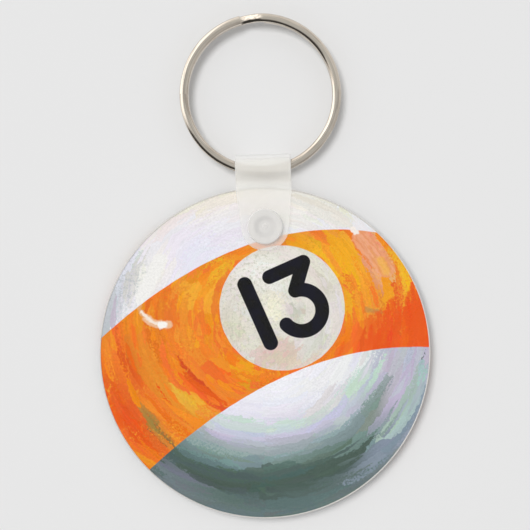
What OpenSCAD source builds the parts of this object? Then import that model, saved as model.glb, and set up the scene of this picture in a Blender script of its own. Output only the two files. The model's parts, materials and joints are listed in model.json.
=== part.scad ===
// Round printed key tag: a laminated disc, a folded plastic strap that swivels on a
// two-piece snap through the disc's edge, and a double-turn split ring in the strap's fold.
//
// Millimetres. The origin is on the snap's axis, in the plane that the part lies on.
// +Z is out of the printed front, and +Y runs from the disc towards the ring.

/* [Disc] */
// Outer diameter of the disc
disc_d = 57.15; // [50:0.05:65]
// Thickness of the disc's core, with the pockets for the printed sheets
core_t = 2.4; // [1.8:0.1:4]
// Thickness of one printed sheet, which is also the depth of its pocket
print_t = 0.2; // [0.1:0.05:0.4]
// Thickness of one clear cover film
film_t = 0.3; // [0.3:0.05:0.6]
// Width of the bevel round each film's outer edge
film_bevel = 0.22; // [0.05:0.01:0.25]
// Pale border left between a printed sheet and the disc's edge
print_border = 0.22; // [0.2:0.02:1]
// Distance from the disc's edge to the snap's axis
snap_inset = 6.8; // [6:0.1:8]

/* [Strap] */
// Thickness of the strap's plastic
strap_t = 0.7; // [0.5:0.05:1]
// Width of the strap at its fold
strap_w = 9.6; // [8.6:0.1:12]
// Radius of the strap's round ends, about the snap's axis
strap_end_r = 4.15; // [3.6:0.05:4.2]
// Distance from the snap's axis to where the strap starts to narrow
strap_taper_y = 6.3; // [5:0.1:8]
// Inside radius of the fold that holds the ring
fold_r = 1.65; // [1.6:0.05:2]
// Angle of the strap and ring about the snap, from the disc's own centre line
strap_lean = 2; // [-10:1:10]
// Play between each leg of the strap and the disc
leg_play = 0.05; // [0.05:0.01:0.15]

/* [Snap] */
// Diameter of the two snap caps
cap_d = 6; // [5.6:0.1:7]
// Thickness of a snap cap
cap_t = 0.5; // [0.4:0.05:0.8]
// Diameter of the hollow post that passes through the strap and the disc
post_d = 3.6; // [3.2:0.1:4]
// Diameter of the bore inside the post
bore_d = 2.2; // [2:0.1:2.4]
// Radial play between the post and the holes it turns in
post_play = 0.1; // [0.05:0.01:0.1]

/* [Split ring] */
// Outer diameter of the ring
ring_d = 28; // [25:0.5:32]
// Gap between the ring and the disc's edge
ring_gap = 2.2; // [1.8:0.1:4]
// Width of the flattened wire, across the ring
wire_w = 1.55; // [1.4:0.05:1.8]
// Thickness of one turn of wire, along the ring's axis
wire_t = 1; // [0.8:0.05:1]
// Gap between the two turns
turn_gap = 0.05; // [0.03:0.01:0.08]
// Where the upper turn ends, as an angle round the ring from +X
seam_angle = 103; // [90:1:120]
// Length of the crank that joins the two turns, as an angle
crank_angle = 18; // [14:1:24]

/* [Hidden] */

$fn = 128;
cut = 0.5;          // how far a cutting solid runs past the face that it cuts
cap_edge = 0.2;     // bevel round a snap cap
dish_r = 1.65;      // shallow dish in the front cap's end
dish_depth = 0.12;
gate_r = 0.45;      // moulding gate in the middle of the dish
bulb_play = 0.05;   // radial play of the pin's bulb in the post's bore
bulb_out = 0.15;    // how far the bulb stands out from the pin's shank
bulb_h = 0.8;
end_play = 0.1;     // gap past the end of the post, and past the end of the pin
spread_gap = 0.12;  // how far the legs run past the disc's edge before they spread
crank_lap = 1;      // how far the crank runs into each turn, in degrees

// heights above the plane that the part lies on
disc_t = core_t + 2 * film_t;
disc_z = cap_t + strap_t + leg_play;
front_z = disc_z + disc_t;
mid_z = disc_z + disc_t / 2;
stud_z = front_z + leg_play + strap_t;

// places along Y, from the snap's axis
disc_r = disc_d / 2;
disc_y = snap_inset - disc_r;
print_r = disc_r - print_border;
hole_r = post_d / 2 + post_play;
spread_y = snap_inset + spread_gap;
ring_y = snap_inset + ring_gap + ring_d / 2;

// The wire crosses the strap as an arc, and the fold's axis is in the middle of its rise.
wire_r = (ring_d - wire_w) / 2;
inner_r = ring_d / 2 - wire_w;
arc_rise = inner_r - sqrt(inner_r * inner_r - strap_w * strap_w / 4);
fold_y = snap_inset + ring_gap + (wire_w + arc_rise) / 2;

// Where a line from p touches the circle of radius r about the origin, on one side or the other
function touch(p, r, side) =
    let (a = atan2(p[1], p[0]) + side * acos(r / norm(p)))
    [r * cos(a), r * sin(a)];

// ---- the disc ----

module snap_hole() {
    translate([0, 0, -cut])
        cylinder(r = hole_r, h = stud_z + 2 * cut);
}

// A round layer of the disc, from height z up
module layer(r, z, h) {
    translate([0, disc_y, z])
        cylinder(r = r, h = h, $fn = 256);
}

module core_disc() {
    color([0.93, 0.93, 0.91])
        difference() {
            layer(disc_r, disc_z + film_t, core_t);
            layer(print_r, disc_z + film_t - cut, cut + print_t);
            layer(print_r, front_z - film_t - print_t, print_t + cut);
            snap_hole();
        }
}

module front_print() {
    color([0.95, 0.55, 0.15])
        difference() {
            layer(print_r, front_z - film_t - print_t, print_t);
            snap_hole();
        }
}

module back_print() {
    color([0.95, 0.55, 0.15])
        difference() {
            layer(print_r, disc_z + film_t, print_t);
            snap_hole();
        }
}

// A cover film with its bevel upwards, standing on z = 0
module film_blank() {
    straight = film_t - film_bevel;
    rotate_extrude($fn = 256)
        polygon([[0, 0], [disc_r, 0], [disc_r, straight], [disc_r - film_bevel, film_t], [0, film_t]]);
}

module front_film() {
    color([0.92, 0.95, 0.97, 0.35])
        difference() {
            translate([0, disc_y, front_z - film_t])
                film_blank();
            snap_hole();
        }
}

module back_film() {
    color([0.92, 0.95, 0.97, 0.35])
        difference() {
            translate([0, disc_y, disc_z + film_t])
                mirror([0, 0, 1])
                    film_blank();
            snap_hole();
        }
}

// ---- the strap and what hangs in it ----

module leaned() {
    rotate([0, 0, strap_lean])
        children();
}

// The strap seen from its side: x runs along the strap, and y is the height from the disc's
// middle. grow = 0 is the space between the legs, and grow = strap_t is the outside.
module strap_side(start, grow) {
    leg = disc_t / 2 + leg_play + grow;
    fold = fold_r + grow;
    bend = touch([fold_y - spread_y, leg], fold, 1);
    bend_y = fold_y - bend[0];
    translate([fold_y, 0])
        circle(r = fold);
    polygon([
        [start, -leg], [spread_y, -leg], [bend_y, -bend[1]],
        [bend_y, bend[1]], [spread_y, leg], [start, leg]
    ]);
}

// The strap seen from above: a round end about the snap, widening to the full width
module strap_plan() {
    shoulder = [strap_w / 2, strap_taper_y];
    side = touch(shoulder, strap_end_r, -1);
    top = fold_y + fold_r + strap_t + cut;
    circle(r = strap_end_r);
    polygon([
        [-side[0], side[1]], [side[0], side[1]], shoulder,
        [strap_w / 2, top], [-strap_w / 2, top], [-shoulder[0], shoulder[1]]
    ]);
}

module strap() {
    color([0.92, 0.92, 0.9, 0.8])
        leaned()
            difference() {
                intersection() {
                    translate([0, 0, mid_z])
                        rotate([90, 0, 90])
                            linear_extrude(strap_w + 2 * cut, center = true)
                                difference() {
                                    strap_side(-strap_end_r - cut, strap_t);
                                    strap_side(-strap_end_r - 2 * cut, 0);
                                }
                    linear_extrude(stud_z + cut)
                        strap_plan();
                }
                snap_hole();
            }
}

// Half of a cap's rim, from its bevelled outer end at height 0 to its inner face
function cap_rim() = [[cap_d / 2 - cap_edge, 0], [cap_d / 2, cap_edge], [cap_d / 2, cap_t]];

// The front half: a dished cap with a hollow post that reaches down to the socket's cap
module snap_stud() {
    post_end = stud_z - end_play;
    dish = [[0, 0], [gate_r, 0], [gate_r, dish_depth], [dish_r, dish_depth], [dish_r, 0]];
    post = [
        [post_d / 2, cap_t], [post_d / 2, post_end],
        [bore_d / 2, post_end], [bore_d / 2, cap_t], [0, cap_t]
    ];
    color([0.94, 0.94, 0.92, 0.85])
        translate([0, 0, stud_z + cap_t])
            mirror([0, 0, 1])
                rotate_extrude()
                    polygon(concat(dish, cap_rim(), post));
}

// The rear half: a plain flat cap with a pin whose bulb clicks up inside the post
module snap_socket() {
    bulb_r = bore_d / 2 - bulb_play;
    pin_r = bulb_r - bulb_out;
    pin_top = stud_z - end_play;
    pin = [
        [pin_r, cap_t], [pin_r, pin_top - bulb_h], [bulb_r, pin_top - bulb_h / 2],
        [pin_r, pin_top], [0, pin_top]
    ];
    color([0.94, 0.94, 0.92, 0.85])
        rotate_extrude()
            polygon(concat([[0, 0]], cap_rim(), pin));
}

// ---- the split ring ----

module wire_section() {
    flat = wire_w - wire_t;
    translate([wire_r, 0]) {
        square([flat, wire_t], center = true);
        translate([flat / 2, 0])
            circle(d = wire_t);
        translate([-flat / 2, 0])
            circle(d = wire_t);
    }
}

// One turn, open from the crank's start to the seam
module turn() {
    rotate([0, 0, seam_angle])
        rotate_extrude(angle = 360 - crank_angle, $fn = 256)
            wire_section();
}

// The crank slopes from the lower turn at the seam up to the upper turn
module crank() {
    half = crank_angle / 2;
    rise = wire_t + turn_gap;
    slope = asin(rise / (2 * wire_r * sin(half)));
    rotate([0, 0, seam_angle - half])
        rotate([-slope, 0, 0])
            rotate([0, 0, -half - crank_lap])
                rotate_extrude(angle = crank_angle + 2 * crank_lap, $fn = 256)
                    wire_section();
}

module split_ring() {
    level = (wire_t + turn_gap) / 2;
    color([0.8, 0.77, 0.72])
        leaned()
            translate([0, ring_y, mid_z]) {
                translate([0, 0, level])
                    turn();
                translate([0, 0, -level])
                    turn();
                crank();
            }
}

core_disc();
front_print();
front_film();
back_print();
back_film();
strap();
snap_stud();
snap_socket();
split_ring();
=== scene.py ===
"""Looks for a round printed key tag: laminated disc, frosted strap, snap and split ring.

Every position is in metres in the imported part's frame. The artwork is painted by shader
nodes in units of the disc's radius, about the disc's centre: u to the right and v up.
"""

import json
import math

import bmesh
import bpy
from mathutils import Matrix, Vector


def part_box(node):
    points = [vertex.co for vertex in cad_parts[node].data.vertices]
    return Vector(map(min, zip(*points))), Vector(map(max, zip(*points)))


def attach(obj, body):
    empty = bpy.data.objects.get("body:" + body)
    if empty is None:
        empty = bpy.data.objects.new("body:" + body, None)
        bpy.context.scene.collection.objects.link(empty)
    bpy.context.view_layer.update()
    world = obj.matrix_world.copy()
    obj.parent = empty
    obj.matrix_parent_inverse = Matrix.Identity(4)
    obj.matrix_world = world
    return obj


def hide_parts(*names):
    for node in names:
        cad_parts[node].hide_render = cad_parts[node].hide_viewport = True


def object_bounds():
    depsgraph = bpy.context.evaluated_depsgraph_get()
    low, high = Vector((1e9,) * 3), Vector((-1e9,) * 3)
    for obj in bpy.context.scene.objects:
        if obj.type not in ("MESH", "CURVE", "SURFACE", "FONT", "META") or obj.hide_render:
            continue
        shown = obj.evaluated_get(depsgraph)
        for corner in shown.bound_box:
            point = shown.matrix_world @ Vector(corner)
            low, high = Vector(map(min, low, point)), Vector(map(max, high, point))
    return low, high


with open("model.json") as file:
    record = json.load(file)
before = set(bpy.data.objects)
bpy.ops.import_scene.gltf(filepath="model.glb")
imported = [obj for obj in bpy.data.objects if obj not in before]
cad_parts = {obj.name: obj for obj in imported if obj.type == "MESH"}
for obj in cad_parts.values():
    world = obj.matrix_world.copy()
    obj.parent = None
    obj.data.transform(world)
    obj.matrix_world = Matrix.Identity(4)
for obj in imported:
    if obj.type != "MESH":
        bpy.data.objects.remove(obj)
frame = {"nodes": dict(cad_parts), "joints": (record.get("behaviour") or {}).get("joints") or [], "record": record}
cad_low, cad_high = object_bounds()

MM = 0.001

# ---- places and sizes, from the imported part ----

film_low, film_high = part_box("front_film")
back_film_low, back_film_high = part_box("back_film")
stud_low, stud_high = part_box("snap_stud")
socket_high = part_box("snap_socket")[1]
strap_low, strap_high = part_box("strap")

disc_r = (film_high.x - film_low.x) / 2
disc_centre = (film_low + film_high) / 2
front_z = film_high.z
back_z = back_film_low.z
mid_z = (front_z + back_z) / 2

ring_hinge = next(j for j in frame["joints"] if j["name"] == "ring_swing")
fold_axis = Vector(ring_hinge["pos_m"])
lean = math.atan2(ring_hinge["axis"][1], ring_hinge["axis"][0])
fold_y = fold_axis.to_2d().length
key_ring = next(m for m in frame["record"]["mounts"] if m["name"] == "key_ring")
ring_centre = Vector(key_ring["pos_m"])

# sizes that the boxes don't give, as in the part's source
HOLE_R = 1.9 * MM  # the snap's hole through the strap and the disc
POST_R, BORE_R = 1.8 * MM, 1.1 * MM
CAP_R, CAP_T, CAP_EDGE = 3 * MM, 0.5 * MM, 0.2 * MM
FILM_BEVEL = 0.22 * MM
STRAP_T, STRAP_END_R, STRAP_HALF_W = 0.7 * MM, 4.15 * MM, 4.8 * MM
SHOULDER_Y = 6.3 * MM  # where the strap starts to narrow towards the snap
SPREAD_Y = 6.92 * MM  # where its legs start to spread towards the fold
FOLD_R = 1.65 * MM + STRAP_T / 2  # to the middle of the strap's thickness
RING_R, WIRE_W, WIRE_T, TURN_GAP = 14 * MM, 1.55 * MM, 1.0 * MM, 0.05 * MM
SEAM, CRANK = 103, 18  # degrees: where the upper turn ends, and the crank's length
HAIR = 0.01 * MM  # keeps see-through surfaces from meeting


# ---- a small kit for shader nodes ----


class Nodes:
    """Adds nodes to one tree. An input takes a plain value or another node's output."""

    def __init__(self, tree):
        self.tree = tree

    def put(self, socket, value):
        if isinstance(value, bpy.types.NodeSocket):
            self.tree.links.new(value, socket)
        else:
            socket.default_value = value

    def add(self, kind, inputs=None, out=0, **settings):
        node = self.tree.nodes.new("ShaderNode" + kind)
        for name, value in settings.items():
            setattr(node, name, value)
        for name, value in (inputs or {}).items():
            self.put(node.inputs[name], value)
        return node.outputs[out] if len(node.outputs) else node

    def math(self, operation, *values, clamp=False):
        inputs = dict(enumerate(values))
        return self.add("Math", inputs, operation=operation, use_clamp=clamp)

    def vector(self, operation, *values):
        out = 1 if operation in ("LENGTH", "DOT_PRODUCT", "DISTANCE") else 0
        return self.add("VectorMath", dict(enumerate(values)), out, operation=operation)

    def scaled(self, vector, factor):
        return self.add("VectorMath", {0: vector, "Scale": factor}, operation="SCALE")

    def split(self, vector):
        node = self.tree.nodes.new("ShaderNodeSeparateXYZ")
        self.put(node.inputs[0], vector)
        return node.outputs

    def join(self, x, y, z=0.0):
        return self.add("CombineXYZ", {0: x, 1: y, 2: z})

    def channels(self, colour):
        node = self.tree.nodes.new("ShaderNodeSeparateColor")
        self.put(node.inputs[0], colour)
        return node.outputs

    def shifted(self, vector, scale, detail, size):
        """A vector moved by noise, up to half of size each way."""
        red, green = self.channels(self.noise(vector, scale, detail, 0.6, out="Color"))[:2]
        back = self.math("MULTIPLY", size, -0.5)
        x = self.math("MULTIPLY_ADD", red, size, back)
        y = self.math("MULTIPLY_ADD", green, size, back)
        return self.vector("ADD", vector, self.join(x, y))

    def after(self, vector, colour):
        """The same vector, made to wait for a colour, as a shader can hold few values at once."""
        too_little_to_see = 1e-7
        wait = self.math("MULTIPLY", self.channels(colour)[0], too_little_to_see)
        return self.vector("ADD", vector, self.join(wait, 0.0))

    def turned(self, vector, angle):
        inputs = {"Vector": vector, "Angle": angle}
        return self.add("VectorRotate", inputs, rotation_type="Z_AXIS")

    def smooth(self, value, start, end, low=0.0, high=1.0):
        """A smooth step from low, where value is start, to high, where it is end."""
        inputs = {"Value": value, 1: start, 2: end, 3: low, 4: high}
        return self.add("MapRange", inputs, interpolation_type="SMOOTHSTEP")

    def mix(self, factor, first, second, blend="MIX"):
        inputs = {0: factor, 6: first, 7: second}
        return self.add("Mix", inputs, 2, data_type="RGBA", blend_type=blend)

    def noise(self, vector, scale=1.0, detail=2.0, roughness=0.5, out=0, **settings):
        inputs = {"Vector": vector, "Scale": scale, "Detail": detail, "Roughness": roughness}
        return self.add("TexNoise", inputs, out, **settings)

    def ramp(self, value, stops):
        """A colour ramp. stops are pairs of position and colour."""
        node = self.tree.nodes.new("ShaderNodeValToRGB")
        while len(node.color_ramp.elements) < len(stops):
            node.color_ramp.elements.new(0.5)
        for element, (position, colour) in zip(node.color_ramp.elements, stops):
            element.position = position
            element.color = colour
        self.put(node.inputs[0], value)
        return node.outputs[0]

    def brightened(self, colour, value):
        return self.add("HueSaturation", {"Color": colour, "Value": value})


def rgb(text):
    """A linear colour from six hex digits."""
    parts = [int(text[i : i + 2], 16) / 255 for i in (0, 2, 4)]
    return (*[(p / 12.92) if p <= 0.04045 else ((p + 0.055) / 1.055) ** 2.4 for p in parts], 1.0)


def new_material(name):
    """A material with an empty tree, and its node kit."""
    material = bpy.data.materials.new(name)
    material.use_nodes = True
    material.node_tree.nodes.clear()
    return material, Nodes(material.node_tree)


def finish_material(n, shader):
    n.put(n.add("OutputMaterial").inputs["Surface"], shader)


def new_group(name, inputs, outputs):
    """A node group. inputs and outputs are pairs of name and socket kind."""
    group = bpy.data.node_groups.new(name, "ShaderNodeTree")
    for label, kind in inputs:
        group.interface.new_socket(label, in_out="INPUT", socket_type="NodeSocket" + kind)
    for label, kind in outputs:
        group.interface.new_socket(label, in_out="OUTPUT", socket_type="NodeSocket" + kind)
    source = group.nodes.new("NodeGroupInput")
    sink = group.nodes.new("NodeGroupOutput")
    return group, Nodes(group), source.outputs, sink.inputs


def use_group(n, group, *values):
    node = n.tree.nodes.new("ShaderNodeGroup")
    node.node_tree = group
    for socket, value in zip(node.inputs, values):
        n.put(socket, value)
    return node.outputs


# ---- the artwork: a painted ball with an orange stripe and the number 13 ----


def colour_field(name, base, patches):
    """A group that gives the paint's colour at a point: a base colour under soft oval patches.

    A patch is its colour, its centre (u, v), its half sizes, its turn in degrees, and how
    much of it is solid, from 0 to 1. base is a colour, or a function that makes one.
    """
    group, n, given, wanted = new_group(name, [("Point", "Vector")], [("Colour", "Color")])
    colour = base(n, given[0]) if callable(base) else rgb(base)
    for tint, centre, size, turn, solid in patches:
        offset = n.vector("SUBTRACT", given[0], (*centre, 0))
        c, s = math.cos(math.radians(turn)), math.sin(math.radians(turn))
        x = n.vector("DOT_PRODUCT", offset, (c / size[0], s / size[0], 0))
        y = n.vector("DOT_PRODUCT", offset, (-s / size[1], c / size[1], 0))
        cover = n.smooth(n.vector("LENGTH", n.join(x, y)), 1.0, solid)
        colour = n.mix(cover, colour, rgb(tint))
    n.put(wanted[0], colour)
    return group


def stroke_group():
    """Cuts the plane into long cells that run round a centre, as brush strokes do.

    It gives the middle of the stroke that the point is in, the stroke's own random colour,
    and the fine lines that the bristles leave along it.
    """
    inputs = [
        ("Point", "Vector"),
        ("Centre", "Vector"),
        ("Turn", "Float"),
        ("Length", "Float"),
        ("Width", "Float"),
        ("Wander", "Float"),
        ("Seed", "Float"),
    ]
    outputs = [("Middle", "Vector"), ("Chance", "Color"), ("Bristle", "Float")]
    group, n, given, wanted = new_group("stroke", inputs, outputs)
    point, centre, turn, length, width, wander, seed = given[:7]

    # the strokes wander slowly, and their edges are ragged
    away = n.join(n.math("MULTIPLY", seed, 7.0), n.math("MULTIPLY", seed, 3.0))
    moved = n.shifted(n.vector("ADD", point, away), 2.2, 1.0, wander)
    moved = n.shifted(moved, 34.0, 3.0, n.math("MULTIPLY", width, 0.9))
    offset = n.vector("SUBTRACT", moved, n.vector("ADD", away, centre))

    # round the centre and out from it, in stroke lengths and widths
    x, y = n.split(n.turned(offset, n.math("MULTIPLY", turn, -1.0)))[:2]
    angle = n.math("ARCTAN2", y, x)
    radius = n.vector("LENGTH", offset)
    lane = n.join(n.math("DIVIDE", angle, length), n.math("DIVIDE", radius, width))
    cells = n.tree.nodes.new("ShaderNodeTexVoronoi")
    cells.voronoi_dimensions = "2D"
    n.put(cells.inputs["Vector"], n.vector("ADD", lane, away))
    cells.inputs["Scale"].default_value = 1.0
    home = n.vector("SUBTRACT", cells.outputs["Position"], away)

    home_x, home_y = n.split(home)[:2]
    home_angle = n.math("ADD", n.math("MULTIPLY", home_x, length), turn)
    home_radius = n.math("MULTIPLY", home_y, width)
    across = n.math("MULTIPLY", home_radius, n.math("COSINE", home_angle))
    along = n.math("MULTIPLY", home_radius, n.math("SINE", home_angle))
    n.put(wanted[0], n.vector("ADD", n.join(across, along), centre))
    n.put(wanted[1], cells.outputs["Color"])

    streak = n.join(n.math("MULTIPLY", angle, 5.0), n.math("MULTIPLY", radius, 110.0), seed)
    n.put(wanted[2], n.noise(streak, 1.0, 2.0, 0.6))
    return group


STROKE = stroke_group()


def paint(n, point, zones, layers):
    """Layers of strokes. Each takes its colour from its zone's field, near its own middle.

    A zone is its field, where it lies (from 0 to 1), and how much its strokes vary. A layer
    is the centre that its strokes run round, the side where they join, the stroke's length
    in radians, its width, how far it wanders, its seed, and the share of strokes laid.
    """
    spread = zones[0][2]
    for _, inside, variety in zones[1:]:
        spread = n.math("MULTIPLY_ADD", inside, n.math("SUBTRACT", variety, spread), spread)
    colour = None
    speckle = n.noise(point, 70.0, 2.0, 0.8)
    for centre, turn, length, width, wander, seed, share in layers:
        stroke = use_group(
            n, STROKE, point, (*centre, 0), math.radians(turn), length, width, wander, seed
        )
        middle, chance, bristle = stroke[:3]
        # a stroke isn't quite one colour: it follows the field a little
        follow = n.scaled(n.vector("SUBTRACT", point, middle), 0.3)
        sample = n.vector("ADD", middle, follow)
        picked = use_group(n, zones[0][0], sample)[0]
        for field, inside, _ in zones[1:]:
            picked = n.mix(inside, picked, use_group(n, field, sample)[0])
        picked = n.mix(spread, picked, chance, "OVERLAY")
        picked = n.brightened(picked, n.math("MULTIPLY_ADD", bristle, 0.30, 0.88))
        if colour is None:
            colour = picked
        else:
            # the paint breaks up between the bristles and where the surface is low
            speckled = n.math("MULTIPLY", speckle, 1.3)
            dry = n.math("ADD", n.math("MULTIPLY", bristle, 0.5), speckled)
            dry = n.math("ADD", dry, n.channels(chance)[0])
            colour = n.mix(n.smooth(dry, 1.88 - share, 1.95 - share), colour, picked)
        point = n.after(point, colour)
    return colour


def above_curve(n, point, square, slope, rise):
    """How far a point is above the curve v = square * u * u + slope * u + rise."""
    u, v = n.split(point)[:2]
    curve = n.math("MULTIPLY_ADD", u, n.math("MULTIPLY_ADD", u, square, slope), rise)
    return n.math("SUBTRACT", v, curve)


def beyond_circle(n, point, centre, radius):
    """How far a point is outside a circle."""
    return n.math("SUBTRACT", n.vector("DISTANCE", point, (*centre, 0)), radius)


def from_line(n, point, start, end):
    """How far a point is from a straight stroke."""
    along = Vector(end) - Vector(start)
    offset = n.vector("SUBTRACT", point, (*start, 0))
    unit = along / along.length_squared
    share = n.vector("DOT_PRODUCT", offset, (*unit, 0))
    share = n.math("ADD", share, 0.0, clamp=True)
    nearest = n.scaled((*along, 0), share)
    return n.vector("DISTANCE", offset, nearest)


def from_arc(n, point, centre, radius, start, end):
    """How far a point is from an arc that runs between two angles in degrees, with round ends."""
    middle, half = math.radians((start + end) / 2), math.radians(abs(end - start) / 2)
    offset = n.turned(n.vector("SUBTRACT", point, (*centre, 0)), -middle)
    x, y = n.split(offset)[:2]
    angle = n.math("ABSOLUTE", n.math("ARCTAN2", y, x))
    beside = n.math("ABSOLUTE", n.math("SUBTRACT", n.vector("LENGTH", offset), radius))
    far = 9.0  # more than any distance in the picture
    past = n.math("MULTIPLY", n.math("GREATER_THAN", angle, half), far)
    near = n.math("ADD", beside, past)
    tip = n.join(x, n.math("ABSOLUTE", y))
    corner = (radius * math.cos(half), radius * math.sin(half), 0)
    return n.math("MINIMUM", near, n.vector("DISTANCE", tip, corner))


def lay(n, colour, distance, ends, full, tint, share=None):
    """A colour with a tint laid over it, which ends at one distance and is full at another.

    share, if it is given, thins the tint.
    """
    cover = n.smooth(distance, ends, full)
    if share is not None:
        cover = n.math("MULTIPLY", cover, share)
    return n.mix(cover, colour, tint if isinstance(tint, bpy.types.NodeSocket) else rgb(tint))


UPPER_PATCHES = [
    ("EDE9E4", (0.00, 0.92), (0.80, 0.16), 0, 0.3),
    ("E5E4EF", (-0.40, 0.58), (0.30, 0.16), 35, 0.3),
    ("ECEAE4", (-0.68, 0.48), (0.22, 0.12), 55, 0.4),
    ("BDC1C8", (-0.95, 0.24), (0.11, 0.32), -18, 0.3),
    ("CDD3D2", (-0.85, 0.42), (0.08, 0.20), -30, 0.2),
    ("EAE4DE", (-0.58, 0.78), (0.30, 0.06), 40, 0.3),
    ("E9E4DA", (-0.28, 0.93), (0.22, 0.07), 15, 0.3),
    ("DFDFCE", (0.34, 0.93), (0.34, 0.08), -18, 0.4),
    ("E6E4DC", (0.42, 0.82), (0.30, 0.07), -20, 0.3),
    ("E7E7E2", (0.20, 0.80), (0.24, 0.08), -8, 0.3),
]

ORANGE_PATCHES = [
    ("EA862F", (-0.90, -0.05), (0.14, 0.42), 0, 0.3),
    ("E0722F", (-0.60, 0.16), (0.14, 0.16), 20, 0.2),
    ("EBA135", (-0.42, 0.36), (0.20, 0.16), -30, 0.3),
    ("EAA735", (-0.26, 0.50), (0.09, 0.10), 0, 0.3),
    ("E78B30", (-0.45, 0.00), (0.22, 0.28), 20, 0.2),
    ("E58E31", (-0.62, -0.14), (0.14, 0.06), -35, 0.3),
    ("E8862B", (-0.20, -0.16), (0.30, 0.10), 15, 0.3),
    ("EB992C", (-0.16, -0.06), (0.18, 0.07), -30, 0.3),
    ("E6652B", (-0.42, -0.20), (0.24, 0.05), -38, 0.4),
    ("E39F3B", (-0.42, -0.32), (0.16, 0.06), -40, 0.3),
    ("DC712B", (-0.72, -0.50), (0.12, 0.34), 40, 0.3),
    ("DA5D2B", (-0.85, -0.34), (0.09, 0.24), 28, 0.4),
    ("897842", (-0.66, -0.45), (0.05, 0.20), 38, 0.3),
    ("EAA12F", (0.40, 0.56), (0.32, 0.22), 0, 0.4),
    ("EEAF2F", (0.47, 0.54), (0.10, 0.07), 60, 0.3),
    ("E0923B", (0.36, 0.72), (0.36, 0.04), 0, 0.3),
    ("E89635", (0.62, 0.32), (0.30, 0.12), 0, 0.3),
    ("E8612B", (0.88, 0.11), (0.44, 0.21), 30, 0.82),
    ("E25929", (0.76, 0.16), (0.22, 0.10), 30, 0.3),
    ("E86D2B", (0.54, 0.08), (0.20, 0.14), 0, 0.3),
    ("E87C2B", (0.30, -0.08), (0.28, 0.08), 20, 0.3),
    ("EAA32F", (0.86, 0.46), (0.12, 0.10), -50, 0.4),
    ("E6772D", (0.76, 0.60), (0.16, 0.04), -55, 0.3),
    ("E79E7A", (0.67, 0.59), (0.20, 0.085), -58, 0.75),
    ("EAB775", (0.735, 0.49), (0.07, 0.035), 80, 0.5),
    ("D9702A", (-0.80, -0.14), (0.05, 0.22), 12, 0.4),
    ("E9A63A", (-0.52, -0.26), (0.16, 0.035), -42, 0.5),
    ("E06426", (-0.60, -0.30), (0.03, 0.22), 40, 0.5),
    ("DB5A26", (-0.36, -0.22), (0.20, 0.028), -32, 0.5),
    ("E8A23C", (-0.34, -0.34), (0.14, 0.03), -34, 0.5),
]

CIRCLE_PATCHES = [
    ("EBE9E4", (0.00, 0.48), (0.26, 0.14), 0, 0.3),
    ("D6D4C0", (-0.20, 0.14), (0.10, 0.18), 20, 0.3),
    ("D9C4BA", (0.12, -0.02), (0.26, 0.10), 0, 0.5),
    ("DEDBD8", (0.40, 0.28), (0.12, 0.20), 0, 0.3),
    ("ECEAD6", (0.06, 0.27), (0.09, 0.12), 0, 0.3),
    ("C9C6BE", (0.20, 0.24), (0.10, 0.08), 20, 0.2),
    ("CFCBC2", (0.38, 0.40), (0.08, 0.06), 0, 0.2),
    ("D0D2CA", (0.34, 0.07), (0.10, 0.08), 40, 0.3),
    ("E2DED6", (0.10, 0.60), (0.20, 0.05), 0, 0.3),
]

LOWER_PATCHES = [
    ("717C84", (-0.52, -0.78), (0.26, 0.13), -35, 0.4),
    ("95A3A6", (-0.36, -0.50), (0.16, 0.06), -25, 0.2),
    ("C6DCD2", (0.12, -0.43), (0.20, 0.045), 10, 0.4),
    ("E9EAEB", (0.42, -0.13), (0.32, 0.09), 22, 0.5),
    ("D9DADC", (0.36, -0.30), (0.14, 0.07), 26, 0.4),
    ("B9BBCB", (0.95, -0.10), (0.36, 0.34), 0, 0.55),
    ("C2C4D2", (0.50, -0.35), (0.16, 0.07), 38, 0.4),
    ("C0DACC", (0.59, -0.20), (0.11, 0.09), 40, 0.4),
    ("DADBDC", (0.64, -0.04), (0.12, 0.07), 0, 0.4),
    ("7F9594", (0.66, -0.46), (0.15, 0.24), -38, 0.4),
    ("8A9FA0", (0.76, -0.36), (0.07, 0.16), -30, 0.4),
    ("A2B4B8", (0.86, -0.33), (0.08, 0.20), -22, 0.4),
    ("A9C4BC", (0.83, -0.40), (0.045, 0.14), -22, 0.4),
    ("98A5B4", (0.83, -0.48), (0.07, 0.18), -32, 0.4),
    ("8795A0", (0.70, -0.60), (0.10, 0.22), -42, 0.5),
    ("6F8280", (0.58, -0.56), (0.06, 0.16), -52, 0.4),
    ("83948F", (0.715, -0.27), (0.035, 0.16), -16, 0.3),
    ("B6B8C8", (0.92, -0.10), (0.16, 0.10), 0, 0.4),
    ("B2BABC", (0.98, -0.24), (0.06, 0.10), 0, 0.3),
]

# the lower part's shading, by distance past the start of its bands, round the ball's middle
BALL_MIDDLE, BANDS_START = (-0.04, 0.26), 0.4
LOWER_BANDS = [
    (0.05, "EEEEF3"),
    (0.20, "E5E5ED"),
    (0.27, "DADAE5"),
    (0.32, "C4D6CE"),
    (0.38, "C4C4DA"),
    (0.43, "A6B5B8"),
    (0.48, "8AA29F"),
    (0.53, "728985"),
    (0.58, "556A63"),
    (0.68, "4E6159"),
    (0.73, "5C6E6B"),
    (0.82, "687A7B"),
]


def lower_base(n, point):
    past = beyond_circle(n, point, BALL_MIDDLE, BANDS_START)
    return n.ramp(past, [(place, rgb(tint)) for place, tint in LOWER_BANDS])


UPPER = colour_field("upper_colours", "E7E6EC", UPPER_PATCHES)
ORANGE = colour_field("orange_colours", "E6862F", ORANGE_PATCHES)
CIRCLE = colour_field("circle_colours", "DEDBD3", CIRCLE_PATCHES)
LOWER = colour_field("lower_colours", lower_base, LOWER_PATCHES)

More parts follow.
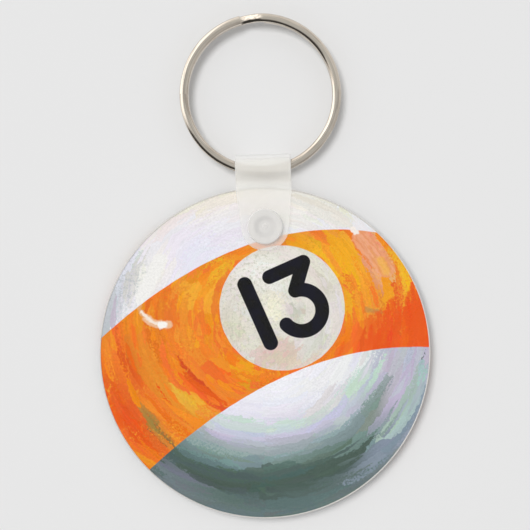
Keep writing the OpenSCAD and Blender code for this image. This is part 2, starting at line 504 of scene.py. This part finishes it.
STROKE_LAYERS = [
    ((-0.02, 0.22), 90, 0.60, 0.070, 0.10, 1.3, 1.00),
    ((-0.02, 0.22), 90, 0.42, 0.045, 0.12, 5.4, 0.50),
    ((0.00, 0.20), 90, 0.18, 0.024, 0.08, 8.9, 0.28),
]

# the stripe's two edges, as v = a * u * u + b * u + c, and the number's circle
STRIPE_TOP = (-0.325, 0.281, 0.685)
STRIPE_BOTTOM = (-0.289, 0.523, -0.200)
CIRCLE_MIDDLE, CIRCLE_R = (0.1035, 0.2715), 0.378
CLEAN = 0.002  # half the softness of a clean edge

HOOK_MIDDLE = (-0.615, 0.322)  # the hooked highlight curves round this point

# the number, in straight strokes and one arc, which is its centre, radius, start and end
NUMBER_LINES = [
    ((-0.1225, 0.4130), (0.0340, 0.0615)),
    ((0.0250, 0.4580), (0.2310, 0.5500)),
    ((0.2310, 0.5500), (0.1820, 0.3770)),
]
NUMBER_ARC = ((0.2210, 0.2570), 0.125, 108, -137)
NUMBER_EDGE = (0.0440, 0.0405)  # where a stroke's ink ends, and where it is full


def picture_zones(n, point):
    """Where the stripe, the part below it and the number's circle lie, each from 0 to 1."""
    # their edges are clean, but cut by hand
    shake = n.math("MULTIPLY_ADD", n.noise(point, 14.0, 2.0), 0.006, -0.003)
    edges = (
        above_curve(n, point, *STRIPE_TOP),
        above_curve(n, point, *STRIPE_BOTTOM),
        beyond_circle(n, point, CIRCLE_MIDDLE, CIRCLE_R),
    )
    return [n.smooth(n.math("ADD", edge, shake), CLEAN, -CLEAN) for edge in edges]


def dry_brushed(n, point, colour, in_stripe, in_orange, in_circle):
    """The colour with the specks that a dry brush leaves."""
    dab = n.noise(point, 42.0, 3.0, 0.85)
    # ochre and brown in worn places on the stripe
    worn = n.math("MULTIPLY", n.smooth(n.noise(point, 5.0, 2.0), 0.50, 0.66), in_orange)
    colour = lay(n, colour, dab, 0.56, 0.60, "F0B43A", n.math("MULTIPLY", worn, 0.7))
    colour = lay(n, colour, dab, 0.42, 0.38, "CC6A28", n.math("MULTIPLY", worn, 0.5))
    # grey green in the number's circle, more so at its left
    leftward = n.smooth(n.split(point)[0], 0.30, -0.22, 0.35, 0.80)
    mottled = n.math("MULTIPLY", leftward, in_circle)
    colour = lay(n, colour, dab, 0.53, 0.61, "C6C6B4", mottled)
    # grey at the left rim, where the white breaks up
    near_rim = n.smooth(n.vector("DISTANCE", point, (-0.90, 0.42, 0)), 0.34, 0.06)
    off_stripe = n.math("MULTIPLY", n.math("SUBTRACT", 1.0, in_stripe), 0.65)
    return lay(n, colour, dab, 0.52, 0.58, "B7BDC0", n.math("MULTIPLY", near_rim, off_stripe))


def single_strokes(n, point, ragged, colour, in_stripe, in_orange):
    """The colour with a few broad strokes that stand alone. ragged is a roughened point."""
    # white, at the upper left
    white = from_line(n, ragged, (-0.635, 0.56), (-0.745, 0.33))
    off_stripe = n.math("SUBTRACT", 0.95, in_stripe)
    colour = lay(n, colour, white, 0.050, 0.032, "F2F1EE", off_stripe)
    # streaky peach, at the upper right, with a yellow glint in it
    along = n.vector("MULTIPLY", n.turned(ragged, math.radians(50)), (9.0, 55.0, 1.0))
    streak = n.smooth(n.noise(along, 1.0, 2.0, 0.6), 0.40, 0.60)
    tint = n.mix(streak, rgb("E79A6C"), rgb("F0B08C"))
    peach = from_line(n, ragged, (0.580, 0.690), (0.730, 0.510))
    colour = lay(n, colour, peach, 0.062, 0.048, tint, n.math("MULTIPLY", in_orange, 0.8))
    glint = from_line(n, ragged, (0.700, 0.560), (0.735, 0.490))
    colour = lay(n, colour, glint, 0.034, 0.010, "F1B84E", 0.7)
    # a short brown smudge right of the number
    smudge = from_line(n, ragged, (0.615, 0.262), (0.700, 0.244))
    colour = lay(n, colour, smudge, 0.022, 0.004, "A9875A", n.math("MULTIPLY", in_orange, 0.55))
    # the ragged top of the red, low at the right
    point = n.after(point, colour)
    torn = n.shifted(point, 18.0, 4.0, 0.11)
    rightward = n.smooth(n.split(point)[0], 0.52, 0.66)
    grain = n.noise(n.vector("MULTIPLY", torn, (26.0, 5.0, 1.0)), 1.0, 2.0, 0.6)
    share = n.math("MULTIPLY", rightward, n.smooth(grain, 0.36, 0.52, 0.25, 0.85))
    red = above_curve(n, torn, 0.0, 0.72, -0.235)
    return lay(n, colour, red, 0.012, -0.012, "E85C26", n.math("MULTIPLY", share, in_orange))


def highlights(n, ragged, colour, in_orange):
    """The colour with the hook low on the left of the stripe and the spot at its top right."""
    hook = from_arc(n, ragged, HOOK_MIDDLE, 0.153, 180, 274)
    colour = lay(n, colour, hook, 0.019, 0.008, "E5AE7C", n.math("MULTIPLY", in_orange, 0.75))
    heel = from_arc(n, ragged, HOOK_MIDDLE, 0.152, 228, 282)
    colour = lay(n, colour, heel, 0.029, 0.018, "EDBE98")
    shine = from_arc(n, ragged, HOOK_MIDDLE, 0.148, 208, 268)
    colour = lay(n, colour, shine, 0.014, 0.005, "F7E8DA")
    tip = from_line(n, ragged, (-0.630, 0.168), (-0.610, 0.168))
    colour = lay(n, colour, tip, 0.026, 0.014, "FAF6F1")
    spot = from_line(n, ragged, (0.53, 0.745), (0.55, 0.730))
    return lay(n, colour, spot, 0.022, 0.010, "F5EDE6")


def numbered(n, point, colour):
    """The colour with the number on it, in round-ended strokes."""
    strokes = [from_line(n, point, start, end) for start, end in NUMBER_LINES]
    strokes.append(from_arc(n, point, *NUMBER_ARC))
    # the first digit's stroke is a little wider
    nearest = n.math("SUBTRACT", strokes[0], 0.003)
    for stroke in strokes[1:]:
        nearest = n.math("MINIMUM", nearest, stroke)
    cloud = n.noise(point, 9.0, 3.0, 0.6)
    ink = n.mix(n.smooth(cloud, 0.40, 0.62), rgb("1A1B2C"), rgb("201C20"))
    return lay(n, colour, nearest, *NUMBER_EDGE, ink)


def artwork(n, point):
    """The whole picture's colour at a point in disc radii."""
    in_stripe, in_lower, in_circle = picture_zones(n, point)
    zones = [
        (UPPER, 1.0, 0.10),
        (ORANGE, in_stripe, 0.34),
        (LOWER, in_lower, 0.08),
        (CIRCLE, in_circle, 0.10),
    ]
    colour = paint(n, point, zones, STROKE_LAYERS)
    above_lower = n.math("SUBTRACT", 1.0, in_lower)
    beside = n.math("MULTIPLY", above_lower, n.math("SUBTRACT", 1.0, in_circle))
    in_orange = n.math("MULTIPLY", in_stripe, beside)

    point = n.after(point, colour)
    colour = dry_brushed(n, point, colour, in_stripe, in_orange, in_circle)
    point = n.after(point, colour)
    ragged = n.shifted(point, 40.0, 2.0, 0.03)
    colour = single_strokes(n, point, ragged, colour, in_stripe, in_orange)
    colour = highlights(n, n.after(ragged, colour), colour, in_orange)
    return numbered(n, n.after(point, colour), colour)


def print_material(name, mirrored):
    """A printed sheet. On the back, the picture is turned over so that it reads right."""
    material, n = new_material(name)
    place = n.add("TexCoord", out="Object")
    flat = n.vector("SUBTRACT", place, tuple(disc_centre))
    side = -1 if mirrored else 1
    point = n.vector("MULTIPLY", flat, (side / disc_r, 1 / disc_r, 0))
    # the cover's own shine lifts the picture, so the ink under it is a little deeper
    grain = n.noise(point, 80.0, 2.0, 0.75)
    rough = n.smooth(n.noise(point, 4.0, 1.0), 0.36, 0.62, 0.12, 0.44)
    tone = n.math("MULTIPLY_ADD", n.math("SUBTRACT", grain, 0.5), rough, 1.02)
    ink = n.vector("SUBTRACT", n.scaled(artwork(n, point), tone), (0.017, 0.017, 0.017))
    colour = n.vector("MAXIMUM", ink, (0, 0, 0))
    inputs = {"Base Color": colour, "Roughness": 0.5, "Specular IOR Level": 0.0}
    finish_material(n, n.add("BsdfPrincipled", inputs))
    return material


# ---- plastics and metal ----


def core_material():
    """Milky white acrylic with a polished edge and faint flow clouds."""
    material, n = new_material("milky_acrylic")
    place = n.add("TexCoord", out="Object")
    clouds = n.noise(place, 160.0, 3.0)
    layers = n.noise(n.vector("MULTIPLY", place, (60, 60, 2600)), 1.0, 2.0)
    colour = n.mix(clouds, rgb("EEEBE6"), rgb("E4E2DE"))
    colour = n.mix(n.math("MULTIPLY", layers, 0.25), colour, rgb("F4F1EC"))
    inputs = {
        "Base Color": colour,
        "Roughness": n.math("MULTIPLY_ADD", clouds, 0.15, 0.16),
        "Subsurface Weight": 0.25,
        "Subsurface Radius": (1.0, 0.9, 0.8),
        "Subsurface Scale": 0.0008,
        "IOR": 1.49,
    }
    finish_material(n, n.add("BsdfPrincipled", inputs))
    return material


def film_material():
    """Clear film: it mirrors a little by angle, and passes the rest."""
    material, n = new_material("clear_film")
    place = n.add("TexCoord", out="Object")
    wave = n.noise(place, 90.0, 2.0)
    bump = n.add("Bump", {"Strength": 0.02, "Distance": 0.0001, "Height": wave})
    shine = n.add("BsdfGlossy", {"Color": (1, 1, 1, 1), "Roughness": 0.06, "Normal": bump})
    clear = n.add("BsdfTransparent", {"Color": (1, 1, 1, 1)})
    fresnel = n.add("Fresnel", {"IOR": 1.45})
    outside = n.math("SUBTRACT", 1.0, n.add("NewGeometry", out="Backfacing"))
    factor = n.math("MULTIPLY", fresnel, outside)
    sheet = n.add("MixShader", {0: factor, 1: clear, 2: shine})
    # the bevel is a cut edge, which is paler and hides more
    level = n.math("ABSOLUTE", n.split(n.add("TexCoord", out="Normal"))[2])
    edge = n.add("BsdfPrincipled", {"Base Color": rgb("E6E3DE"), "Roughness": 0.12, "IOR": 1.6})
    cut = n.math("MULTIPLY", n.smooth(level, 0.90, 0.74), 0.7)
    finish_material(n, n.add("MixShader", {0: cut, 1: sheet, 2: edge}))
    return material


def frosted_material(name, tints, veil, through, grain):
    """Frosted plastic, with painted highlights on its edges and a band of painted shade across the strap between
    the disc and the fold. tints are the haze's two colours.

    veil is the share that hides what is behind it, over the disc and past its edge. through
    is the share of the veil's light that comes from the other side. grain is the fine
    bumps' scale.
    """
    material, n = new_material(name)
    place = n.add("TexCoord", out="Object")
    haze = n.noise(place, 220.0, 3.0)
    fine = n.noise(place, grain, 2.0)
    level = n.math("ABSOLUTE", n.split(n.add("TexCoord", out="Normal"))[2])
    edge = n.smooth(level, 0.92, 0.60)
    colour = n.mix(haze, rgb(tints[0]), rgb(tints[1]))
    # painted highlight: where the surface turns from level, at the cut edges and round the fold, the haze is
    # painted whiter
    colour = n.mix(n.math("MULTIPLY", edge, 0.8), colour, rgb("FFFFFF"))
    # painted shade: greyer across the free part of the strap, between the disc's edge and the fold, where the ring
    # and the gap behind it darken it
    disc_edge_y, shade_band_y = 6.9 * MM, 8.5 * MM
    along = n.split(place)[1]
    from_shade_band = n.math("ABSOLUTE", n.math("SUBTRACT", along, shade_band_y))
    painted_shade_band = n.smooth(from_shade_band, 1.6 * MM, 0.2 * MM, 0.0, 0.6)
    colour = n.mix(painted_shade_band, colour, rgb("E0DDD7"))
    bump = n.add("Bump", {"Strength": 0.12, "Distance": 0.00004, "Height": fine})
    inputs = {
        "Base Color": colour,
        "Roughness": n.math("MULTIPLY_ADD", haze, 0.2, 0.28),
        "IOR": 1.46,
        "Normal": bump,
    }
    solid = n.add("BsdfPrincipled", inputs)
    glow = n.add("BsdfTranslucent", {"Color": colour, "Normal": bump})
    milk = n.add("MixShader", {0: through, 1: solid, 2: glow})
    clear = n.add("BsdfTransparent", {"Color": (1.0, 1.0, 1.0, 1)})
    share = n.smooth(along, disc_edge_y, disc_edge_y + 1.0 * MM, *veil)
    share = n.math("MULTIPLY_ADD", haze, 0.08, n.math("SUBTRACT", share, 0.04))
    share = n.math("MULTIPLY_ADD", edge, 0.4, share)
    # light finds its way through frosted plastic more easily than an image does
    shadow = n.math("MULTIPLY_ADD", n.add("LightPath", out="Is Shadow Ray"), -0.85, 1.0)
    share = n.math("MULTIPLY", share, shadow)
    finish_material(n, n.add("MixShader", {0: share, 1: clear, 2: milk}))
    return material


def nickel_material():
    """Bright nickel plate over drawn wire, with fine lines along the wire."""
    material, n = new_material("nickel_plate")
    place = n.add("TexCoord", out="Object")
    offset = n.vector("SUBTRACT", place, tuple(ring_centre))
    x, y, z = n.split(offset)
    flat = n.vector("LENGTH", n.join(x, y))
    turn = n.math("ARCTAN2", y, x)
    section = n.join(flat, z, turn)
    fine = n.vector("MULTIPLY", section, (9000.0, 9000.0, 1.0))
    broad = n.vector("MULTIPLY", section, (3300.0, 3300.0, 1.5))
    lines = n.noise(fine, 1.0, 3.0, 0.6)
    drawn = n.noise(broad, 1.0, 2.0, 0.5)
    height = n.math("MULTIPLY_ADD", drawn, 2.0, lines)
    blotch = n.noise(place, 700.0, 3.0)
    colour = n.mix(blotch, rgb("EBE3D8"), rgb("DCD3C6"))
    colour = n.mix(n.math("MULTIPLY", n.smooth(lines, 0.50, 0.66), 0.35), colour, rgb("9C8F82"))
    colour = n.mix(n.math("MULTIPLY", n.smooth(drawn, 0.50, 0.62), 0.40), colour, rgb("8A7D70"))
    bump = n.add("Bump", {"Strength": 0.5, "Distance": 0.00003, "Height": height})
    inputs = {
        "Base Color": colour,
        "Metallic": 1.0,
        "Roughness": n.math("MULTIPLY_ADD", lines, 0.10, 0.02),
        "Normal": bump,
    }
    finish_material(n, n.add("BsdfPrincipled", inputs))
    return material


# ---- meshes ----


def new_piece(name, bm, material, body, slot, *stands_for):
    """Makes a piece from a bmesh, in the part's frame, and ties it to its body."""
    bmesh.ops.recalc_face_normals(bm, faces=bm.faces)
    mesh = bpy.data.meshes.new(name)
    bm.to_mesh(mesh)
    bm.free()
    mesh.materials.append(material)
    mesh.shade_smooth()
    piece = bpy.data.objects.new(name, mesh)
    bpy.context.scene.collection.objects.link(piece)
    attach(piece, body)
    if stands_for:
        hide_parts(*stands_for)
    return piece


def keep_edges(piece, degrees):
    """Smooth shading that breaks at edges sharper than this."""
    piece.data.set_sharp_from_angle(angle=math.radians(degrees))


def circle(bm, centre, r, z, segments):
    """A level ring of vertices about centre."""
    ring = []
    for i in range(segments):
        a = 2 * math.pi * i / segments
        ring.append(bm.verts.new((centre.x + r * math.cos(a), centre.y + r * math.sin(a), z)))
    return ring


def lathe(profile, centre, segments):
    """A closed solid turned about the vertical line through centre. profile is (r, z) pairs."""
    bm = bmesh.new()
    rings = []
    for r, z in profile:
        on_axis = r == 0
        place = (centre.x, centre.y, z)
        rings.append([bm.verts.new(place)] if on_axis else circle(bm, centre, r, z, segments))
    for lower, upper in zip(rings, rings[1:]):
        join_rings(bm, lower, upper)
    return bm


def join_rings(bm, lower, upper):
    """Faces between two closed rings of vertices. A ring may be one vertex, on the axis."""
    count = max(len(lower), len(upper))
    for i in range(count):
        j = (i + 1) % count
        loop = [lower[i % len(lower)], lower[j % len(lower)]]
        loop += [upper[j % len(upper)], upper[i % len(upper)]]
        unique = list(dict.fromkeys(loop))
        if len(unique) > 2:
            bm.faces.new(unique)


def corner(centre, radius, start, end, steps):
    """Points on an arc of a profile, with angles in degrees."""
    points = []
    for i in range(steps + 1):
        a = math.radians(start + (end - start) * i / steps)
        points.append((centre[0] + radius * math.cos(a), centre[1] + radius * math.sin(a)))
    return points


def film_profile(inner, outer):
    """A cover film's outer edge in section, from its inner face's height to its outer face's."""
    rise = 1 if outer > inner else -1
    soft = 0.05 * MM
    straight = outer - rise * FILM_BEVEL
    return [
        (disc_r, inner),
        (disc_r, straight - rise * soft),
        (disc_r - soft * 0.3, straight + rise * soft * 0.4),
        (disc_r - FILM_BEVEL + soft * 0.4, outer - rise * soft * 0.3),
        (disc_r - FILM_BEVEL - soft, outer),
    ]


def build_ring(material):
    """The split ring's wire: an upper turn, a crank down, and a lower turn under it."""
    path_r = RING_R - WIRE_W / 2
    level = (WIRE_T + TURN_GAP) / 2
    # the wire's section: an oval, a little squared
    fullness = 0.92
    section = []
    for i in range(36):
        a = math.radians(10 * i)
        c, s = math.cos(a), math.sin(a)
        x, z = math.copysign(abs(c) ** fullness, c), math.copysign(abs(s) ** fullness, s)
        section.append((x * WIRE_W / 2, z * WIRE_T / 2))
    # a section at each degree, and closer ones at the two rounded ends
    start, end = SEAM, SEAM + 720 - CRANK
    stations = [start, start + 0.12, start + 0.35]
    stations += range(start + 1, end)
    stations += [end - 0.35, end - 0.12, end]
    shrink = {0: 0.80, 1: 0.94, len(stations) - 1: 0.80, len(stations) - 2: 0.94}

    def height(a):
        """The wire's height at an angle in degrees along it, from the seam."""
        crank_start = SEAM + 360 - CRANK
        t = min(max((a - crank_start) / CRANK, 0), 1)
        return level * (1 - 2 * (t * t * (3 - 2 * t)))

    bm = bmesh.new()
    rings = []
    for index, a in enumerate(stations):
        size = shrink.get(index, 1.0)
        turn = math.radians(a) + lean
        out = Vector((math.cos(turn), math.sin(turn), 0))
        along = Vector((-math.sin(turn), math.cos(turn), 0))
        slope = (height(a + 0.5) - height(a - 0.5)) / (path_r * math.radians(1))
        up = (Vector((0, 0, 1)) - along * slope).normalized()
        centre = ring_centre + out * path_r + Vector((0, 0, height(a)))
        rings.append([bm.verts.new(centre + out * x * size + up * z * size) for x, z in section])
    for lower, upper in zip(rings, rings[1:]):
        join_rings(bm, lower, upper)
    bm.faces.new(rings[0])
    bm.faces.new(rings[-1])
    piece = new_piece("ring_wire", bm, material, "ring", "ring_metal", "split_ring")
    keep_edges(piece, 50)


def strap_half_width(y):
    """Half the strap's width at a distance along it from the snap's axis."""
    reach = math.hypot(STRAP_HALF_W, SHOULDER_Y)
    side = math.atan2(SHOULDER_Y, STRAP_HALF_W) - math.acos(STRAP_END_R / reach)
    touch_x, touch_y = STRAP_END_R * math.cos(side), STRAP_END_R * math.sin(side)
    if y >= SHOULDER_Y:
        return STRAP_HALF_W
    if y <= touch_y:
        return math.sqrt(max(STRAP_END_R**2 - y**2, 0))
    return touch_x + (STRAP_HALF_W - touch_x) * (y - touch_y) / (SHOULDER_Y - touch_y)


def eye_outline(top_y, columns):
    """The outline of the strap's round end, anticlockwise from its top right.

    It starts with the columns along the top edge, at top_y.
    """
    low_angle = math.radians(-12)  # from here down, the points are evenly spaced
    side_steps, round_steps = 6, 44
    half_w = strap_half_width(top_y)
    top = [(half_w * (1 - 2 * i / columns), top_y) for i in range(columns + 1)]
    low_y = STRAP_END_R * math.sin(low_angle)
    heights = [top_y + (low_y - top_y) * i / side_steps for i in range(1, side_steps + 1)]
    left = [(-strap_half_width(y), y) for y in heights]
    sweep = math.pi + 2 * low_angle
    arc = []
    for i in range(1, round_steps):
        a = math.pi - low_angle + sweep * i / round_steps
        arc.append((STRAP_END_R * math.cos(a), STRAP_END_R * math.sin(a)))
    right = [(-x, y) for x, y in reversed(left)]
    return top + left + arc + right


def strap_path(start_y, leg):
    """The strap's middle line from the front leg, round the fold, to the back leg: (y, z)."""
    away = Vector((fold_y - SPREAD_Y, leg))
    a = math.atan2(away.y, away.x) + math.acos(FOLD_R / away.length)
    bend_y, bend_z = fold_y - FOLD_R * math.cos(a), FOLD_R * math.sin(a)
    slope = (bend_z - leg) / (bend_y - SPREAD_Y)
    spread = [SPREAD_Y + 0.2 * MM]
    spread += [spread[0] + (bend_y - spread[0]) * i / 5 for i in range(1, 5)]
    front = [(start_y, leg), (SHOULDER_Y, leg), (SPREAD_Y - 0.25 * MM, leg)]
    front += [(SPREAD_Y, leg - 0.01 * MM)]
    front += [(y, leg + slope * (y - SPREAD_Y)) for y in spread]
    bend_angle = math.degrees(math.atan2(bend_z, bend_y - fold_y))
    fold = corner((fold_y, 0), FOLD_R, bend_angle, -bend_angle, 36)
    return front + fold + [(y, -z) for y, z in reversed(front)]


def build_strap(material):
    """The folded strap: one sheet from the front leg's round end, over the fold, to the back."""
    leg = (strap_high.z - strap_low.z) / 2 - STRAP_T / 2
    eye_top_y = 5.4 * MM
    columns, eye_rings = 18, 5
    bm = bmesh.new()
    turned = Matrix.Rotation(lean, 4, "Z")

    def point(x, y, z):
        return bm.verts.new(turned @ Vector((x, y, mid_z + z)))

    def eye(z):
        """The part of one leg round its hole. Returns the vertices along its top edge."""
        rows = []
        for k in range(eye_rings + 1):
            share = k / eye_rings
            row = []
            for x, y in eye_outline(eye_top_y, columns):
                near = Vector((x, y)).normalized() * HOLE_R
                row.append(point(near.x + (x - near.x) * share, near.y + (y - near.y) * share, z))
            rows.append(row)
        for inner, outer in zip(rows, rows[1:]):
            join_rings(bm, inner, outer)
        return rows[-1][: columns + 1]

    front_edge = eye(leg)
    back_edge = eye(-leg)
    rows = [front_edge]
    for y, z in strap_path(5.8 * MM, leg):
        width = strap_half_width(min(y, fold_y))
        rows.append([point(width * (1 - 2 * i / columns), y, z) for i in range(columns + 1)])
    rows.append(back_edge)
    for lower, upper in zip(rows, rows[1:]):
        for i in range(columns):
            bm.faces.new((lower[i], lower[i + 1], upper[i + 1], upper[i]))

    piece = new_piece("strap_sheet", bm, material, "strap", "strap_plastic", "strap")
    solid = piece.modifiers.new("thickness", "SOLIDIFY")
    solid.thickness = STRAP_T
    solid.offset = 0
    solid.use_even_offset = True
    rim = piece.modifiers.new("soft_edges", "BEVEL")
    rim.width = 0.13 * MM
    rim.segments = 3
    rim.limit_method = "ANGLE"
    rim.angle_limit = math.radians(50)


def build_snap(material):
    """The two halves of the snap. Their caps stand a hair off the strap."""
    axis = Vector((0, 0, 0))
    soft = 0.03 * MM

    # the front half, from its outer face's middle out, then down and up the hollow post
    top, post_end = stud_high.z, stud_low.z
    inside = top - CAP_T + HAIR
    dish, dish_r = 0.12 * MM, 1.65 * MM
    gate_r, gate_soft = 0.45 * MM, 0.07 * MM
    gate_drop = 0.02 * MM  # the gate's end is just below the cap's face
    post_soft = 0.05 * MM
    stud = [(0, top - gate_drop), (0.3 * MM, top - gate_drop)]
    stud += corner((gate_r - gate_soft, top - gate_drop - gate_soft), gate_soft, 80, 0, 4)
    stud += [(gate_r + 0.02 * MM, top - dish), (gate_r + 0.10 * MM, top - dish)]
    # the dish's wide soft edge: how far past its radius, and how much of its depth is left
    slope = [(-0.60, 1), (-0.40, 0.94), (-0.10, 0.62), (0.14, 0.30), (0.34, 0.08), (0.50, 0)]
    stud += [(dish_r + past * MM, top - dish * depth) for past, depth in slope]
    stud += corner((CAP_R - CAP_EDGE, top - CAP_EDGE), CAP_EDGE, 90, 0, 6)
    stud += [(CAP_R, inside + soft), (CAP_R - soft, inside)]
    stud += [(POST_R, inside), (POST_R, post_end + post_soft)]
    stud += [(POST_R - post_soft, post_end), (BORE_R + post_soft, post_end)]
    stud += [(BORE_R, post_end + post_soft), (BORE_R, top - CAP_T), (0, top - CAP_T)]
    bm = lathe(stud, axis, 96)
    piece = new_piece("snap_cap", bm, material, "snap_front", "snap_plastic", "snap_stud")
    keep_edges(piece, 40)

    # the rear half, from its outer face's middle out, then up the pin and its bulb
    tip, inside = socket_high.z, CAP_T - HAIR
    pin_r, bulb_r, bulb_h = 0.9 * MM, 1.05 * MM, 0.8 * MM
    socket = [(0, 0), (CAP_R - CAP_EDGE, 0)]
    socket += corner((CAP_R - CAP_EDGE, CAP_EDGE), CAP_EDGE, -90, 0, 6)[1:]
    socket += [(CAP_R, inside - soft), (CAP_R - soft, inside)]
    socket += [(pin_r, inside), (pin_r, tip - bulb_h)]
    socket += [(bulb_r, tip - bulb_h * 0.6), (bulb_r, tip - bulb_h * 0.4)]
    socket += [(pin_r, tip - 0.04 * MM), (pin_r - 0.06 * MM, tip), (0, tip)]
    bm = lathe(socket, axis, 96)
    piece = new_piece("snap_base", bm, material, "strap", "snap_plastic", "snap_socket")
    keep_edges(piece, 40)


def build_films(material):
    """The clear covers, a hair off the printed sheets, each with its hole for the snap."""
    for name, node, inner, outer in (
        ("front_cover", "front_film", film_low.z + HAIR, front_z),
        ("back_cover", "back_film", back_film_high.z - HAIR, back_z),
    ):
        bm = holed_disc(inner, outer)
        piece = new_piece(name, bm, material, "disc", "clear_film", node)
        keep_edges(piece, 25)


def holed_disc(inner, outer):
    """A film as a closed solid: flat faces between the snap's hole and the bevelled edge."""
    steps = 256
    bm = bmesh.new()
    hole_centre = Vector((0, 0, 0))
    rings = [circle(bm, hole_centre, HOLE_R, z, steps) for z in (outer, inner)]
    rings += [circle(bm, disc_centre, r, z, steps) for r, z in film_profile(inner, outer)]
    for lower, upper in zip(rings, rings[1:] + rings[:1]):
        join_rings(bm, lower, upper)
    return bm


# ---- put the looks on ----

frame["nodes"]["core_disc"].data.materials.clear()
frame["nodes"]["core_disc"].data.materials.append(core_material())
for node_name, is_back in (("front_print", False), ("back_print", True)):
    node_mesh = frame["nodes"][node_name].data
    node_mesh.materials.clear()
    node_mesh.materials.append(print_material(node_name + "_art", is_back))

build_films(film_material())
strap_look = frosted_material("frosted_strap", ("FDFBF6", "FFFFFC"), (0.30, 0.44), 0.22, 5200.0)
build_strap(strap_look)
snap_look = frosted_material("frosted_snap", ("E2E0DD", "E8E6E3"), (0.88, 0.88), 0.10, 4200.0)
build_snap(snap_look)
build_ring(nickel_material())


# ---- floor, light and camera ----


def build_floor():
    """A pale matt floor, just under the part."""
    half_side, gap = 4.0, 0.02 * MM
    bm = bmesh.new()
    bmesh.ops.create_grid(bm, x_segments=1, y_segments=1, size=half_side)
    mesh = bpy.data.meshes.new("floor")
    bm.to_mesh(mesh)
    bm.free()
    floor = bpy.data.objects.new("floor", mesh)
    bpy.context.scene.collection.objects.link(floor)
    floor.location = (disc_centre.x, 0, cad_low.z - gap)
    material, n = new_material("pale_floor")
    inputs = {"Base Color": (0.80, 0.80, 0.80, 1), "Roughness": 1.0, "Specular IOR Level": 0.0}
    finish_material(n, n.add("BsdfPrincipled", inputs))
    mesh.materials.append(material)


# the soft light from the tent, from the floor's level (0) to straight above (1)
TENT = [(0.00, 0.44), (0.10, 0.27), (0.30, 0.41), (0.60, 0.56), (0.96, 0.54), (0.985, 0.44)]

# what bright metal mirrors round the part, once round from -X through -Y
PANELS = [
    (0.000, 1.60),
    (0.020, 1.30),
    (0.060, 0.05),
    (0.250, 0.05),
    (0.300, 0.42),
    (0.400, 0.50),
    (0.500, 0.58),
    (0.620, 0.74),
    (0.750, 0.84),
    (0.800, 1.00),
    (0.830, 1.60),
]


def build_world():
    """Soft light from all round, as a studio tent gives, a little dimmer at the top.

    Metal mirrors a bright panel at the left and a dark gap at the lower left.
    """
    world = bpy.data.worlds.new("studio")
    bpy.context.scene.world = world
    world.use_nodes = True
    world.node_tree.nodes.clear()
    n = Nodes(world.node_tree)
    direction = n.vector("NORMALIZE", n.add("TexCoord", out="Generated"))
    x, y, height = n.split(direction)
    tent = n.ramp(height, [(place, (light, light, light, 1)) for place, light in TENT])
    compass = n.math("MULTIPLY_ADD", n.math("ARCTAN2", y, x), 0.5 / math.pi, 0.5)
    warm = [(place, (light, light * 0.98, light * 0.95, 1)) for place, light in PANELS]
    mirrored = n.mix(n.smooth(height, 0.84, 0.985), n.ramp(compass, warm), (0.54, 0.54, 0.53, 1))
    path = n.tree.nodes.new("ShaderNodeLightPath")
    colour = n.mix(path.outputs["Is Glossy Ray"], tent, mirrored)
    colour = n.mix(path.outputs["Is Camera Ray"], colour, (0.80, 0.80, 0.80, 1))
    background = n.add("Background", {"Color": colour, "Strength": 1.0})
    n.put(n.add("OutputWorld").inputs["Surface"], background)


def build_light():
    """One large softbox above and to the upper left."""
    lamp = bpy.data.lights.new("softbox", "AREA")
    lamp.shape = "DISK"
    lamp.size = 2.3
    lamp.energy = 189.0
    holder = bpy.data.objects.new("softbox", lamp)
    bpy.context.scene.collection.objects.link(holder)
    offset = Vector((-1.42, 1.20, 5.70))
    holder.location = offset
    holder.rotation_mode = "QUATERNION"
    holder.rotation_quaternion = offset.to_track_quat("Z", "Y")
    holder.visible_glossy = False


def build_camera():
    """Looks straight down, from where the disc's front spans five eighths of the view."""
    lens, sensor = 100, 36  # millimetres
    span = 1.599 * 2 * disc_r
    rise = 0.2655 * 2 * disc_r  # from the disc's middle to what the camera aims at
    camera = bpy.data.cameras.new("camera")
    camera.lens = lens
    camera.sensor_width = sensor
    camera.clip_start = 0.01
    camera.clip_end = 20
    holder = bpy.data.objects.new("camera", camera)
    bpy.context.scene.collection.objects.link(holder)
    holder.location = (disc_centre.x, disc_centre.y + rise, front_z + span * lens / sensor)
    bpy.context.scene.camera = holder


build_floor()
build_world()
build_light()
build_camera()
bpy.context.scene.view_settings.view_transform = "Standard"
